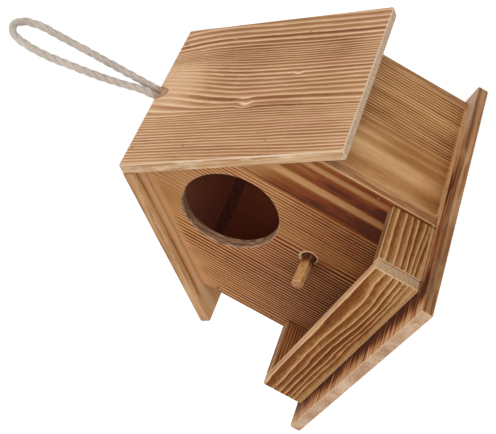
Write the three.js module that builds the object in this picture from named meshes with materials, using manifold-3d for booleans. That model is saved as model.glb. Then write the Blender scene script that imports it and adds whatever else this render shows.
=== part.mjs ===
// A small hanging bird house of scorched softwood boards, with a fenced porch and a rope loop.
// Millimetres, +Z up. The front looks towards -Y and +X is on the right of someone facing it.
// The origin lies under the middle of the outline, at the underside of the floor board.

import * as THREE from 'three';
import { mergeVertices } from 'three/addons/utils/BufferGeometryUtils.js';
import Module from 'manifold-3d';

const wasm = await Module();
wasm.setup();

// Boards
const boardThickness = 6;
const jointGap = 0.3;
const edgeEase = 0.5;
const cornerRadius = 1.4;
const cornerSteps = 3;

// House body
const plateWidth = 130;
const houseDepth = 96;

// Roof
const ridgeHeight = 157.3;
const roofPitch = THREE.MathUtils.degToRad(45);
const roofRightSlope = 123.5;
const roofLeftSlope = 121;
const roofFrontOverhang = 9.5;
const roofBackOverhang = 11;

// Floor and porch
const floorRightOverhang = 7.2;
const floorLeftOverhang = 6.5;
const floorBackOverhang = 8.8;
const porchDepth = 60;
const floorFrontSkew = 6.1;
const fenceFrontReach = 42.5;
const fenceHeight = 24.3;
const fenceRightInset = 1.3;
const fenceLeftInset = 1.4;

// Entrance
const entranceDiameter = 53;
const entranceBelowRidge = 63;
const entranceSegments = 48;
const rimEase = 0.6;

// Perch
const perchDiameter = 7;
const perchBelowEntrance = 22.5;
const perchOffset = -1.9;
const perchReach = 19.5;
const perchSideLean = THREE.MathUtils.degToRad(5);
const perchRise = THREE.MathUtils.degToRad(2.4);
const perchInside = 1.5;
const perchFit = 0.3;
const perchEndEase = 0.9;
const perchRim = 0.8;
const perchSegments = 20;

// Rope and its knot
const ropeDiameter = 4;
const ropeSides = 8;
const ropeSteps = 30;
const strandGap = 0.8;
const ropeHoleFit = 0.6;
const ropeHoleSegments = 24;
const ropeHolePlaceShare = 0.51;
const knotShoulder = 1.8;
const knotWaist = 4.5;
const knotFoot = 2.4;
const knotCover = 0.2;
const knotSegments = 20;

// Fixing pins
const pinDiameter = 1;
const pinHeadDiameter = 1.4;
const pinHeadHeight = 0.8;
const pinLength = 16;
const pinTip = 1.2;
const pinFit = 0.3;
const pinSunk = 0.2;
const pinSegments = 6;

// Cutters pass the faces that they open by this much
const overrun = 2;

// Places of the pins along the edge that they fasten
const wallPinShares = [0.42, 0.88];
const roofPinShares = [0.3, 0.8];
const ridgePinShares = [0.12, 0.88];
const floorPlatePinShare = 0.62;
const floorWallPinShare = 0.5;
const fenceFloorPinShare = 0.6;
const fencePinShares = [0.3, 0.72];

const at = (x, y, z) => new THREE.Vector3(x, y, z);
const X = at(1, 0, 0);
const Y = at(0, 1, 0);
const Z = at(0, 0, 1);

// Levels and planes that the boards share
const half = plateWidth / 2;
const floorTop = boardThickness;
const bodyBottom = floorTop + jointGap;
const slopeDrop = (distance) => distance / Math.cos(roofPitch);
const innerApex = ridgeHeight - slopeDrop(boardThickness);
const plateApex = innerApex - slopeDrop(jointGap);
const plateEave = plateApex - half * Math.tan(roofPitch);
const roofFront = -roofFrontOverhang;
const roofBack = houseDepth + roofBackOverhang;
const wallFront = boardThickness + jointGap;
const wallBack = houseDepth - boardThickness - jointGap;
const fenceRightFace = half - fenceRightInset;
const fenceLeftFace = -half + fenceLeftInset;
const fenceFrontBack = -fenceFrontReach + boardThickness;
const sideFenceFront = fenceFrontBack + jointGap;
const sideFenceBack = -jointGap;
const floorRightFace = half + floorRightOverhang;
const floorLeftFace = -half - floorLeftOverhang;
const floorBackFace = houseDepth + floorBackOverhang;
const entranceZ = ridgeHeight - entranceBelowRidge;
const perchZ = entranceZ - entranceDiameter / 2 - perchBelowEntrance;
const ropeY = roofFront + (roofBack - roofFront) * ropeHolePlaceShare;
const ropeHoleDiameter = 2 * ropeDiameter + strandGap + 2 * ropeHoleFit;
const strandOffset = (ropeDiameter + strandGap) / 2;

function solidOf(geometry) {
  const bare = geometry.clone();
  bare.deleteAttribute('normal');
  bare.deleteAttribute('uv');
  const merged = mergeVertices(bare);
  return new wasm.Manifold(new wasm.Mesh({
    numProp: 3,
    vertProperties: new Float32Array(merged.attributes.position.array),
    triVerts: new Uint32Array(merged.index.array),
  }));
}

function geometryOf(solid) {
  const mesh = solid.getMesh();
  const geometry = new THREE.BufferGeometry();
  geometry.setAttribute('position', new THREE.BufferAttribute(new Float32Array(mesh.vertProperties), 3));
  geometry.setIndex(new THREE.BufferAttribute(new Uint32Array(mesh.triVerts), 1));
  geometry.computeVertexNormals();
  return geometry;
}

// A polygon whose corners are rounded, with points given in order
function roundedOutline(points, radius) {
  const shape = new THREE.Shape();
  points.forEach((point, i) => {
    const corner = new THREE.Vector2(...point);
    const before = new THREE.Vector2(...points[(i + points.length - 1) % points.length]);
    const after = new THREE.Vector2(...points[(i + 1) % points.length]);
    const start = corner.clone().add(before.sub(corner).setLength(radius));
    const end = corner.clone().add(after.sub(corner).setLength(radius));
    if (i === 0) shape.moveTo(start.x, start.y);
    else shape.lineTo(start.x, start.y);
    shape.quadraticCurveTo(corner.x, corner.y, end.x, end.y);
  });
  shape.closePath();
  return shape;
}

// A board with eased edges: its outline lies in the plane of u and v, its thickness runs along u x v
function board(points, origin, u, v) {
  const geometry = new THREE.ExtrudeGeometry(roundedOutline(points, cornerRadius), {
    depth: boardThickness - 2 * edgeEase,
    bevelEnabled: true,
    bevelThickness: edgeEase,
    bevelSize: edgeEase,
    bevelOffset: -edgeEase,
    bevelSegments: 1,
    curveSegments: cornerSteps,
  });
  geometry.translate(0, 0, edgeEase);
  const frame = new THREE.Matrix4().makeBasis(u, v, new THREE.Vector3().crossVectors(u, v));
  frame.setPosition(origin);
  return solidOf(geometry.applyMatrix4(frame));
}

function rectangle(u0, v0, u1, v1) {
  return [[u0, v0], [u1, v0], [u1, v1], [u0, v1]];
}

// A turned solid whose profile of radius and height starts at base and rises along axis
function turned(profile, base, axis, segments) {
  const points = profile.map(([radius, height]) => new THREE.Vector2(radius, height));
  const geometry = new THREE.LatheGeometry(points, segments);
  geometry.applyQuaternion(new THREE.Quaternion().setFromUnitVectors(Y, axis));
  geometry.translate(base.x, base.y, base.z);
  return solidOf(geometry);
}

// A hole cutter from face to face of a board, flaring by ease at each end
function holeCutter(radius, startEase, endEase, base, axis, segments) {
  return turned([
    [0, -overrun],
    [radius + startEase + overrun, -overrun],
    [radius, startEase],
    [radius, boardThickness - endEase],
    [radius + endEase + overrun, boardThickness + overrun],
    [0, boardThickness + overrun],
  ], base, axis, segments);
}

const boards = {};

// The floor's front edge is cut a little out of square, as a hand-sawn board is
boards.floor_board = board([
  [floorLeftFace, floorFrontSkew - porchDepth],
  [floorRightFace, -porchDepth],
  [floorRightFace, floorBackFace],
  [floorLeftFace, floorBackFace],
], at(0, 0, 0), X, Y);

// The perch and its hole lean a little to the left and upwards, as drilled by hand
const perchAxis = Y.clone().negate().applyAxisAngle(Z, -perchSideLean).applyAxisAngle(X, -perchRise);
const perchFoot = at(perchOffset, 0, perchZ);

// The two gable plates cover the ends of the side walls
const gable = [
  [-half, bodyBottom],
  [half, bodyBottom],
  [half, plateEave],
  [0, plateApex],
  [-half, plateEave],
];
boards.front_plate = board(gable, at(0, boardThickness, 0), X, Z)
  .subtract(holeCutter(entranceDiameter / 2, rimEase, rimEase, at(0, 0, entranceZ), Y, entranceSegments))
  .subtract(holeCutter(perchDiameter / 2 + perchFit, perchRim, 0, perchFoot, perchAxis.clone().negate(), perchSegments));
boards.back_plate = board(gable, at(0, houseDepth, 0), X, Z);

const wallOutline = rectangle(wallFront, bodyBottom, wallBack, plateEave);
boards.side_wall_right = board(wallOutline, at(half - boardThickness, 0, 0), Y, Z);
boards.side_wall_left = board(wallOutline, at(-half, 0, 0), Y, Z);

// Both roof boards start at the ridge; the right one covers the top end of the left one
const ridge = at(0, 0, ridgeHeight);
const downRight = at(Math.cos(roofPitch), 0, -Math.sin(roofPitch));
const downLeft = at(-Math.cos(roofPitch), 0, -Math.sin(roofPitch));
const outRight = at(Math.sin(roofPitch), 0, Math.cos(roofPitch));
const outLeft = at(-Math.sin(roofPitch), 0, Math.cos(roofPitch));
const roofRight = board(
  rectangle(0, roofFront, roofRightSlope, roofBack),
  ridge.clone().addScaledVector(outRight, -boardThickness), downRight, Y,
);
const roofLeft = board(
  rectangle(0, roofFront, roofLeftSlope, roofBack),
  ridge.clone(), downLeft, Y,
);

// A slab that lies above the plane through the ridge with the normal out, sunk below it by depth
function slabAbove(out, along, depth) {
  const reach = roofRightSlope + roofLeftSlope;
  const geometry = new THREE.BoxGeometry(reach, roofBack - roofFront + 2 * overrun, reach);
  const frame = new THREE.Matrix4().makeBasis(along, Y, new THREE.Vector3().crossVectors(along, Y));
  const centre = ridge.clone().addScaledVector(out, reach / 2 - depth).setY((roofFront + roofBack) / 2);
  return solidOf(geometry.applyMatrix4(frame.setPosition(centre)));
}

const ropeHole = turned([
  [0, innerApex - knotShoulder - ridgeHeight - ropeHoleDiameter],
  [ropeHoleDiameter / 2, innerApex - knotShoulder - ridgeHeight - ropeHoleDiameter],
  [ropeHoleDiameter / 2, overrun],
  [0, overrun],
], at(0, ropeY, ridgeHeight), Z, ropeHoleSegments);
boards.roof_board_right = roofRight.subtract(slabAbove(outLeft, downLeft, 0)).subtract(ropeHole);
boards.roof_board_left = roofLeft
  .subtract(slabAbove(outRight, downRight, boardThickness + jointGap))
  .subtract(ropeHole);

// The porch fence: the front board covers the ends of the two side boards
const fenceTop = bodyBottom + fenceHeight;
boards.fence_front = board(
  rectangle(fenceLeftFace, bodyBottom, fenceRightFace, fenceTop),
  at(0, fenceFrontBack, 0), X, Z,
);
const sideFenceOutline = rectangle(sideFenceFront, bodyBottom, sideFenceBack, fenceTop);
boards.fence_right = board(sideFenceOutline, at(fenceRightFace - boardThickness, 0, 0), Y, Z);
boards.fence_left = board(sideFenceOutline, at(fenceLeftFace, 0, 0), Y, Z);

// Fixing pins: each has the board face where its head sits, its direction and the boards that it holds
function pinBody(place, fit) {
  const { from, axis } = place;
  const shank = pinDiameter / 2 + fit;
  const head = pinHeadDiameter / 2 + fit;
  const start = fit ? -overrun : pinSunk;
  const end = pinLength + fit;
  return turned([
    [0, start],
    [head, start],
    [head, pinSunk + pinHeadHeight + fit],
    [shank, pinSunk + pinHeadHeight + fit],
    [shank, end - pinTip],
    [0, end],
  ], from, axis, pinSegments);
}

const middle = boardThickness / 2;
const inward = (out) => out.clone().negate();
const onRoof = (down, distance, y) => ridge.clone().addScaledVector(down, distance).setY(y);
const bodyHeight = plateEave - bodyBottom;
const gableEdge = half / Math.cos(roofPitch);
const ridgeBuild = boardThickness * Math.tan(roofPitch);
const pins = {
  pin_front_plate: [],
  pin_back_plate: [],
  pin_roof_right: [],
  pin_roof_left: [],
  pin_floor: [],
  pin_fence: [],
};

for (const [wall, x] of [['side_wall_right', half - middle], ['side_wall_left', -half + middle]]) {
  for (const share of wallPinShares) {
    const z = bodyBottom + bodyHeight * share;
    pins.pin_front_plate.push({ from: at(x, 0, z), axis: Y, holds: ['front_plate', wall] });
    pins.pin_back_plate.push({ from: at(x, houseDepth, z), axis: inward(Y), holds: ['back_plate', wall] });
  }
  pins.pin_floor.push({ from: at(x, houseDepth * floorWallPinShare, 0), axis: Z, holds: ['floor_board', wall] });
}
for (const [plate, y] of [['front_plate', middle], ['back_plate', houseDepth - middle]]) {
  for (const share of roofPinShares) {
    const distance = ridgeBuild + gableEdge * share;
    pins.pin_roof_right.push({
      from: onRoof(downRight, distance, y), axis: inward(outRight), holds: ['roof_board_right', plate],
    });
    pins.pin_roof_left.push({
      from: onRoof(downLeft, distance, y), axis: inward(outLeft), holds: ['roof_board_left', plate],
    });
  }
  for (const side of [-1, 1]) {
    pins.pin_floor.push({
      from: at(side * half * floorPlatePinShare, y, 0), axis: Z, holds: ['floor_board', plate],
    });
  }
}
for (const share of ridgePinShares) {
  pins.pin_roof_right.push({
    from: onRoof(downRight, middle, roofFront + (roofBack - roofFront) * share),
    axis: inward(outRight),
    holds: ['roof_board_right', 'roof_board_left'],
  });
}
for (const [fence, x] of [
  ['fence_right', fenceRightFace - middle],
  ['fence_left', fenceLeftFace + middle],
]) {
  for (const share of fencePinShares) {
    pins.pin_fence.push({
      from: at(x, -fenceFrontReach, bodyBottom + fenceHeight * share),
      axis: Y,
      holds: ['fence_front', fence],
    });
  }
  pins.pin_floor.push({
    from: at(x * fenceFloorPinShare, fenceFrontBack - middle, 0), axis: Z, holds: ['floor_board', 'fence_front'],
  });
}

for (const group of Object.values(pins)) {
  for (const pin of group) {
    const cutter = pinBody(pin, pinFit);
    for (const name of pin.holds) boards[name] = boards[name].subtract(cutter);
  }
}

// The perch is pushed through its hole and stands a little proud inside
const perchLength = perchReach + boardThickness + perchInside;
const perch = turned([
  [0, 0],
  [perchDiameter / 2, 0],
  [perchDiameter / 2, perchLength - perchEndEase],
  [perchDiameter / 2 - perchEndEase, perchLength],
  [0, perchLength],
], perchFoot.clone().addScaledVector(perchAxis, -boardThickness - perchInside), perchAxis, perchSegments);

// The knot bears on the undersides of both roof boards, below the ridge hole
const knotTopRadius = ropeHoleDiameter / 2 + knotCover;
const knotRadius = knotTopRadius + knotShoulder;
const knotTop = innerApex - knotTopRadius * Math.tan(roofPitch) - slopeDrop(jointGap);
const knotShoulderZ = knotTop - knotShoulder * Math.tan(roofPitch);
const knotBottom = knotShoulderZ - knotWaist - knotFoot;
const knot = turned([
  [0, knotBottom],
  [knotTopRadius, knotBottom],
  [knotRadius, knotBottom + knotFoot],
  [knotRadius, knotShoulderZ],
  [knotTopRadius, knotTop],
  [0, knotTop],
], at(0, ropeY, 0), Z, knotSegments);

// The rope loop lies in the plane of the ridge. Each pair is a distance back from the hole's middle
// and a height over the ridge.
const ropeRoute = [
  [2.6, 3],
  [2.4, 11],
  [2.2, 22],
  [2, 36],
  [1.7, 50],
  [1.5, 62],
  [0.9, 72.5],
  [-2.6, 80.8],
  [-8.9, 83.8],
  [-14.4, 80],
  [-16.4, 70.5],
  [-16, 60],
  [-14.3, 50],
  [-11.2, 34.5],
  [-6.9, 18.8],
  [-3.4, 8],
];
const strandEnd = knotTop + jointGap;
const strandFoot = (strandEnd + ridgeHeight) / 2;
const ropeCurve = new THREE.CatmullRomCurve3([
  at(0, ropeY + strandOffset, strandEnd),
  at(0, ropeY + strandOffset, strandFoot),
  ...ropeRoute.map(([back, up]) => at(0, ropeY + back, ridgeHeight + up)),
  at(0, ropeY - strandOffset, strandFoot),
  at(0, ropeY - strandOffset, strandEnd),
]);
const ropeSection = new THREE.Shape(
  Array.from({ length: ropeSides }, (_, i) => {
    const turn = (2 * Math.PI * i) / ropeSides;
    return new THREE.Vector2(Math.cos(turn), Math.sin(turn)).multiplyScalar(ropeDiameter / 2);
  }),
);
const rope = solidOf(new THREE.ExtrudeGeometry(ropeSection, {
  steps: ropeSteps,
  bevelEnabled: false,
  extrudePath: ropeCurve,
}));

function material(color, roughness, metalness = 0) {
  return new THREE.MeshStandardMaterial({ color, roughness, metalness });
}

const materials = {
  floor_board: material('#a5713f', 0.72),
  front_plate: material('#96622f', 0.74),
  back_plate: material('#9a6734', 0.74),
  side_wall_right: material('#b07c48', 0.72),
  side_wall_left: material('#9c6a38', 0.72),
  roof_board_right: material('#c99c6b', 0.7),
  roof_board_left: material('#a8733f', 0.72),
  fence_front: material('#94683a', 0.72),
  fence_right: material('#9b6f3f', 0.72),
  fence_left: material('#86522c', 0.74),
  perch_dowel: material('#c0935f', 0.7),
  hanging_rope: material('#c6b5a3', 0.95),
  rope_knot: material('#bfad99', 0.95),
  pins: material('#6d6a66', 0.45, 0.9),
};

const house = new THREE.Group();
function add(name, solid, look = materials[name]) {
  const mesh = new THREE.Mesh(geometryOf(solid), look);
  mesh.name = name;
  house.add(mesh);
}

for (const [name, solid] of Object.entries(boards)) add(name, solid);
add('perch_dowel', perch);
add('hanging_rope', rope);
add('rope_knot', knot);
for (const [name, group] of Object.entries(pins)) {
  group.forEach((pin, i) => add(`${name}_${i + 1}`, pinBody(pin, 0), materials.pins));
}

// The outline's middle goes to the origin
const rightmost = Math.max(roofRightSlope * downRight.x, floorRightFace);
const leftmost = Math.min(roofLeftSlope * downLeft.x, floorLeftFace);
const backmost = Math.max(roofBack, floorBackFace);
house.position.set(-(rightmost + leftmost) / 2, (porchDepth - backmost) / 2, 0);

export default house;
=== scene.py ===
import math
from functools import partial

import bmesh
import bpy
from mathutils import Matrix, Vector, noise


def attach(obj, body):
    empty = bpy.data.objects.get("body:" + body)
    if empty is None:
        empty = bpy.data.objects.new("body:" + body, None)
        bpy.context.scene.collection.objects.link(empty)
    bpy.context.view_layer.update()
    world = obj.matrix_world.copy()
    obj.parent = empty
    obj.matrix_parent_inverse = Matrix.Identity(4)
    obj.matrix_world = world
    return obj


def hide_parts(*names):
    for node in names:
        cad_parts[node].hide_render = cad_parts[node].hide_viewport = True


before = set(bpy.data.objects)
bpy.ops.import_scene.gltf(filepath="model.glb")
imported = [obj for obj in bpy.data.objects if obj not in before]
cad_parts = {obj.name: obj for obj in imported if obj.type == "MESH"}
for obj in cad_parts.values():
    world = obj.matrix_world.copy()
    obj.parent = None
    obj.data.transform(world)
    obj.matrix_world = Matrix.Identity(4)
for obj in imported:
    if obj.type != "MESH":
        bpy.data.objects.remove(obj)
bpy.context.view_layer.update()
scene = bpy.context.scene
mm = 0.001
slope = math.sqrt(0.5)  # the roof is pitched at 45 degrees
# in millimetres: from the drawing's origin to the frame's, the ridge, and where the roof's undersides would meet
house = {"shift": Vector((-0.88388, -23.5, 0)), "ridge": 157.3, "underRidge": 148.9, "thickness": 6}


def toLinear(code):
    # an sRGB hex colour as the linear one that the nodes take
    parts = [int(code[i:i + 2], 16) / 255 for i in (1, 3, 5)]
    return [c / 12.92 if c <= 0.04045 else ((c + 0.055) / 1.055) ** 2.4 for c in parts] + [1.0]


def addNode(tree, kind, wires=(), stops=(), **settings):
    # adds one node, sets it up and links it; a node given as a value is linked by its first output in use
    node = tree.nodes.new(kind)
    for key, value in settings.items():
        setattr(node, key, value)
    for key, value in dict(wires).items():
        if isinstance(value, bpy.types.Node):
            value = next(socket for socket in value.outputs if socket.enabled)
        if isinstance(value, bpy.types.NodeSocket):
            tree.links.new(value, node.inputs[key])
        else:
            node.inputs[key].default_value = value
    if stops and kind == "ShaderNodeValToRGB":
        while len(node.color_ramp.elements) < len(stops):
            node.color_ramp.elements.new(1)
        for element, (place, tone) in zip(node.color_ramp.elements, stops):
            element.position = place
            element.color = toLinear(tone) if isinstance(tone, str) else (tone, tone, tone, 1)
    if stops and kind == "ShaderNodeFloatCurve":
        points = node.mapping.curves[0].points
        while len(points) < len(stops):
            points.new(0.5, 0.5)
        for point, place in zip(points, stops):
            point.location = place
            point.handle_type = "AUTO_CLAMPED"
        node.mapping.update()
    return node


def newTree(holder):
    # empties the nodes of a material or the world, and gives the function that adds to them
    holder.use_nodes = True
    holder.node_tree.nodes.clear()
    return partial(addNode, holder.node_tree)


def addSurface(add, colour, rough, height, strength, rise, gloss):
    # the shader with its relief, whose height is in millimetres
    relief = add("ShaderNodeBump", {"Height": height, "Strength": strength, "Distance": rise * mm})
    surface = add("ShaderNodeBsdfPrincipled", {"Base Color": colour, "Roughness": rough, "Normal": relief, **gloss})
    add("ShaderNodeOutputMaterial", {0: surface})


def addPiece(name, mesh, material):
    piece = bpy.data.objects.new(name, mesh)
    scene.collection.objects.link(piece)
    mesh.materials.append(material)
    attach(piece, "root")
    return piece


def toMesh(name, shape):
    mesh = bpy.data.meshes.new(name)
    shape.to_mesh(mesh)
    shape.free()
    return mesh


# Camera: where the photograph was taken from, found from the corners of the boards
camera = {"place": (464.10, -432.46, 165.67), "turn": (74.894, 60.195, 35.288), "lens": 86.158}

eyeData = bpy.data.cameras.new("photoCamera")
eyeData.lens = camera["lens"]
eyeData.sensor_width = 36
eyeData.clip_start = 0.01
eye = bpy.data.objects.new("photoCamera", eyeData)
eye.location = [v * mm for v in camera["place"]]
eye.rotation_euler = [math.radians(v) for v in camera["turn"]]
scene.collection.objects.link(eye)
scene.camera = eye
print("camera placed")


def smoothLine(points, step, closed=False):
    # a centripetal curve through the points, cut into steps of one length
    count = len(points)
    parts = 24  # cuts between two points
    fine = []
    for i in range(count if closed else count - 1):
        if closed:
            a, b, c, d = (points[(i + k) % count] for k in (-1, 0, 1, 2))
        else:
            b, c = points[i], points[i + 1]
            a = points[i - 1] if i else b * 2 - c
            d = points[i + 2] if i + 2 < count else c * 2 - b
        t1 = math.sqrt((b - a).length)
        t2 = t1 + math.sqrt((c - b).length)
        t3 = t2 + math.sqrt((d - c).length)
        for k in range(parts):
            t = t1 + (t2 - t1) * k / parts
            share = (t - t1) / (t2 - t1)
            ab, bc, cd = a.lerp(b, t / t1), b.lerp(c, share), c.lerp(d, (t - t2) / (t3 - t2))
            fine.append(ab.lerp(bc, t / t2).lerp(bc.lerp(cd, (t - t1) / (t3 - t1)), share))
    fine.append(points[0].copy() if closed else points[-1].copy())
    run = [0.0]
    for a, b in zip(fine, fine[1:]):
        run.append(run[-1] + (b - a).length)
    steps = round(run[-1] / step)
    line, k = [], 0
    for i in range(steps + 1):
        want = run[-1] * i / steps
        while k < len(fine) - 2 and run[k + 1] < want:
            k += 1
        line.append(fine[k].lerp(fine[k + 1], min(1, (want - run[k]) / (run[k + 1] - run[k]))))
    return line, run[-1]


def layStrands(name, line, side, lay, closed=False):
    # lays the strands of a rope round a line, whose own plane has the side as its normal
    curve = bpy.data.curves.new(name, "CURVE")
    curve.dimensions = "3D"
    curve.bevel_depth = lay["strandRadius"] * mm
    curve.bevel_resolution = 3
    curve.use_fill_caps = not closed
    frames = []
    for i, point in enumerate(line):
        ahead = line[(i + 1) % (len(line) - 1)] if closed else line[min(i + 1, len(line) - 1)]
        behind = line[i - 1 if i else -2] if closed else line[max(i - 1, 0)]
        along = (ahead - behind).normalized()
        across = (side - along * side.dot(along)).normalized()
        frames.append((point, across, along.cross(across)))
    total = lay["stepLength"] * (len(line) - 1)
    turns = round(total / lay["pitch"]) if closed else total / lay["pitch"]
    for strand in range(lay["strands"]):
        spline = curve.splines.new("POLY")
        rows = frames[:-1] if closed else frames
        spline.points.add(len(rows) - 1)
        spline.use_cyclic_u = closed
        for i, (point, across, over) in enumerate(rows):
            turn = 2 * math.pi * (turns * i / (len(frames) - 1) + strand / lay["strands"])
            reach = across * math.cos(turn) + over * math.sin(turn)
            spline.points[i].co = [v * mm for v in point + reach * lay["strandReach"]] + [1]
            lump = noise.noise(point / lay["lumpLength"] + Vector((9 * strand, 0, 0)))  # no two strands alike
            spline.points[i].radius = 1 + lay["lump"] * lump
    holder = bpy.data.objects.new(name, curve)
    scene.collection.objects.link(holder)
    mesh = bpy.data.meshes.new_from_object(holder.evaluated_get(bpy.context.evaluated_depsgraph_get()))
    bpy.data.objects.remove(holder)
    mesh.name = name
    for face in mesh.polygons:
        face.use_smooth = True
    return mesh


def cottonRope(name, yarn):
    # undyed cotton yarn, spun and laid: dull and a little fluffy, with fine fibres along each strand
    material = bpy.data.materials.new(name)
    add = newTree(material)
    place = add("ShaderNodeTexCoord")
    # the strand's own map runs once along it and once round it, so its length and girth give millimetres
    fibrePlace = add("ShaderNodeMapping", {
        "Vector": place.outputs["UV"],
        "Scale": (yarn["length"] / yarn["fibreLength"], yarn["girth"] / yarn["fibreWidth"], 1)})
    fibres = add("ShaderNodeTexNoise", {"Vector": fibrePlace, "Scale": 1, "Detail": 3, "Roughness": 0.6})
    fuzz, stains = (add("ShaderNodeTexNoise", {
        "Vector": place.outputs["Object"], "Scale": 1 / (yarn[size] * mm), "Detail": 2}) for size in ("fuzz", "stain"))
    blend = add("ShaderNodeMath", {0: fibres, 1: fuzz}, operation="ADD")
    level = add("ShaderNodeMath", {0: blend, 1: stains}, operation="ADD")
    share = add("ShaderNodeMath", {0: level, 1: 3.0}, operation="DIVIDE")  # the mean of the three
    clean = add("ShaderNodeValToRGB", {0: share}, yarn["tones"])
    # the lowest part in view is painted brown: painted light that the scorched wood of the hole throws on the rope, in
    # place of its grey shade there
    rise = add("ShaderNodeVectorMath", {0: place.outputs["Object"], 1: (0, 0, 1 / mm)}, operation="DOT_PRODUCT")
    bouncedBrownShare = add("ShaderNodeMapRange", {0: rise, 1: yarn["browned"][0], 2: yarn["browned"][1], 3: 0, 4: 0.7})
    colour = add("ShaderNodeMix", {0: bouncedBrownShare, 6: clean, 7: toLinear(yarn["brown"])}, data_type="RGBA")
    rough = add("ShaderNodeMapRange", {0: fibres, 1: 0.3, 2: 0.7, 3: 0.95, 4: 0.8})
    addSurface(add, colour, rough, blend, 0.8, yarn["relief"], {
        "IOR": 1.5, "Sheen Weight": 0.25, "Sheen Roughness": 0.6, "Specular IOR Level": 0.2})
    return material


# Rope: three strands of undyed cotton laid round each other, out of the ridge and back into it
rope = {
    "holeY": 49.915, "diameter": 4.0, "strandOffset": 2.4, "end": 143.49, "foot": 150.4,
    # back from the middle of the hole and up from the ridge, as the loop stands
    "route": [
        (2.6, 3), (2.4, 11), (2.2, 22), (2, 36), (1.7, 50), (1.5, 62), (0.9, 72.5), (-2.6, 80.8),
        (-8.9, 83.8), (-14.4, 80), (-16.4, 70.5), (-16, 60), (-14.3, 50), (-11.2, 34.5),
        (-6.9, 18.8), (-3.4, 8),
    ],
    "lay": {"strands": 3, "strandRadius": 1.3, "strandReach": 0.82, "pitch": 17, "stepLength": 0.7,
            "lump": 0.14, "lumpLength": 5.0},
    "yarn": {"length": 210, "girth": 7.6, "fibreLength": 5, "fibreWidth": 0.35, "fuzz": 0.5, "stain": 18,
             # browned and brown: the heights and the colour of the painted bounce light from the wood round the hole
             "relief": 0.2, "browned": (160.5, 157), "brown": "#94694A",
             "tones": [(0.3, "#9A8D81"), (0.45, "#AEA297"), (0.55, "#BCB0A5"), (0.7, "#CAC0B6")]},
}

ropePoints = [Vector((0, rope["holeY"] + rope["strandOffset"], rope[k])) for k in ("end", "foot")]
ropePoints += [Vector((0, rope["holeY"] + back, house["ridge"] + up)) for back, up in rope["route"]]
ropePoints += [Vector((0, rope["holeY"] - rope["strandOffset"], rope[k])) for k in ("foot", "end")]
ropeLine, ropeLength = smoothLine([p + house["shift"] for p in ropePoints], rope["lay"]["stepLength"])
hangingRope = addPiece("hangingRope", layStrands("hangingRope", ropeLine, Vector((1, 0, 0)), rope["lay"]),
                       cottonRope("laidCottonRope", rope["yarn"]))
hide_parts("hanging_rope")
print(f"rope laid, {ropeLength:.1f} mm long")

# Knot: the rope's ends in an overhand knot, drawn tight under the ridge
knot = {
    "middle": 138.84, "reach": 1.63, "rise": 2.25, "points": 36,
    "lay": {"strands": 3, "strandRadius": 1.05, "strandReach": 0.9, "pitch": 11.5, "stepLength": 0.7,
            "lump": 0.1, "lumpLength": 4.0},
}

knotPoints = []
for i in range(knot["points"]):
    a = 2 * math.pi * i / knot["points"]
    flat = Vector((math.sin(a) + 2 * math.sin(2 * a), math.cos(a) - 2 * math.cos(2 * a), 0)) * knot["reach"]
    centre = Vector((0, rope["holeY"], knot["middle"] - knot["rise"] * math.sin(3 * a)))
    knotPoints.append(flat + centre + house["shift"])
knotLine, knotLength = smoothLine(knotPoints, knot["lay"]["stepLength"], closed=True)
ropeKnot = addPiece("ropeKnot", layStrands("ropeKnot", knotLine, Vector((0, 0, 1)), knot["lay"], closed=True),
                    cottonRope("knottedCottonRope", dict(rope["yarn"], length=knotLength)))
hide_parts("rope_knot")
print("knot tied")

eased = {"interpolation_type": "SMOOTHSTEP"}  # for limits that come in gently
# sizes of the patterns in the wood, in millimetres along the grain, across it and through the board; real fibres
# are 0.05 mm wide and are drawn at 0.42 mm, so that they show
grain = {"wobble": (14, 2.2, 3), "blotch": (48, 11, 11), "tongue": (26, 5.5, 5.5), "fleck": (3.6, 1.3, 1.3),
         "fibre": (9, 0.42, 0.42), "hue": (44, 15, 15), "sawn": (40, 1.6, 1.6), "worn": (26, 9, 9),
         "cut": (8.3333, 3.3333, 0.71429), "grit": (0.625, 0.625, 0.625)}


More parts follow.
